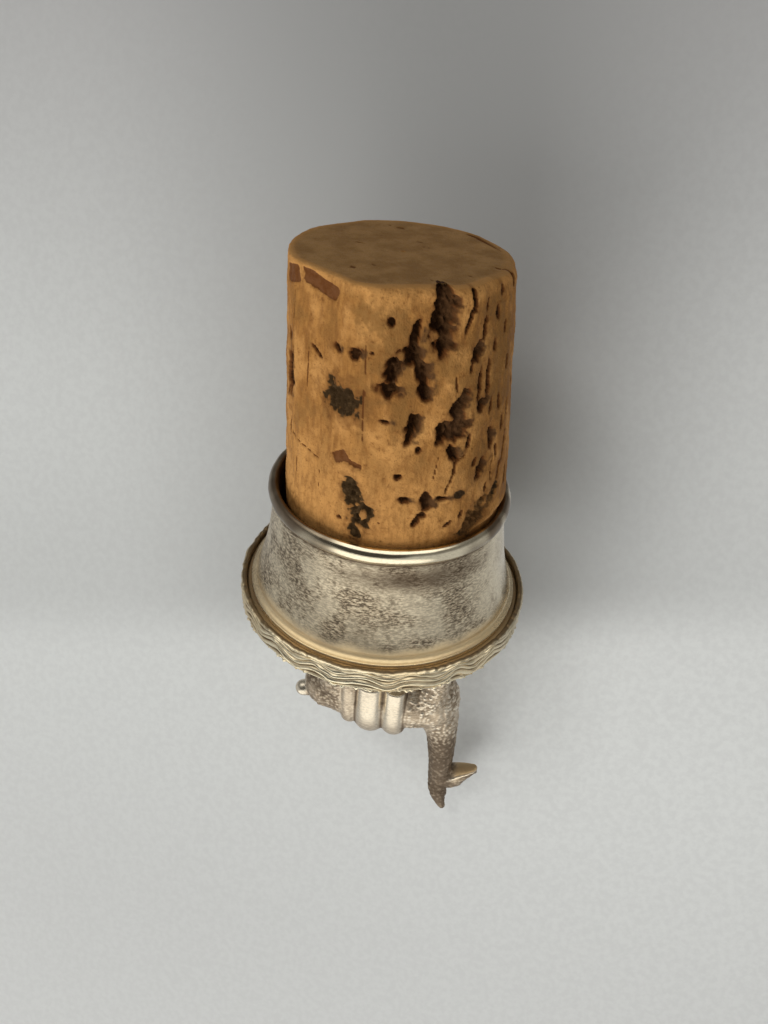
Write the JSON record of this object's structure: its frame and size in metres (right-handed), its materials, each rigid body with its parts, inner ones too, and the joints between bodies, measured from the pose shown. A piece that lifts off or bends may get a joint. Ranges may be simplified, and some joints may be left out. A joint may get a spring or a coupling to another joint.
{
  "type": "figural bottle stopper",
  "caption": "Bottle stopper: a tapered natural cork in a flared silver collar with a wavy-edged plate that carries a cast llama with a pack.",
  "frame": {"origin": "centre of the cork's free end face, on which the stopper stands", "axes": "+Z along the stopper's axis from the cork to the llama; the llama faces -X"},
  "size_m": [0.029, 0.029, 0.0687],
  "materials": {
    "cork": "natural cork, pitted and unvarnished",
    "collar_silver": "worn silver with grey and brown tarnish",
    "plate_silver": "satin silver, tarnished",
    "band_silver": "pale silver ridges with brown in the hollows",
    "llama_silver": "stippled cast silver, oxidised, with a polished pack"
  },
  "bodies": {
    "root": {"cork": "cork", "collar": "collar_silver", "plate": "plate_silver", "wavy_band": "band_silver", "llama": "llama_silver"}
  },
  "joints": []
}
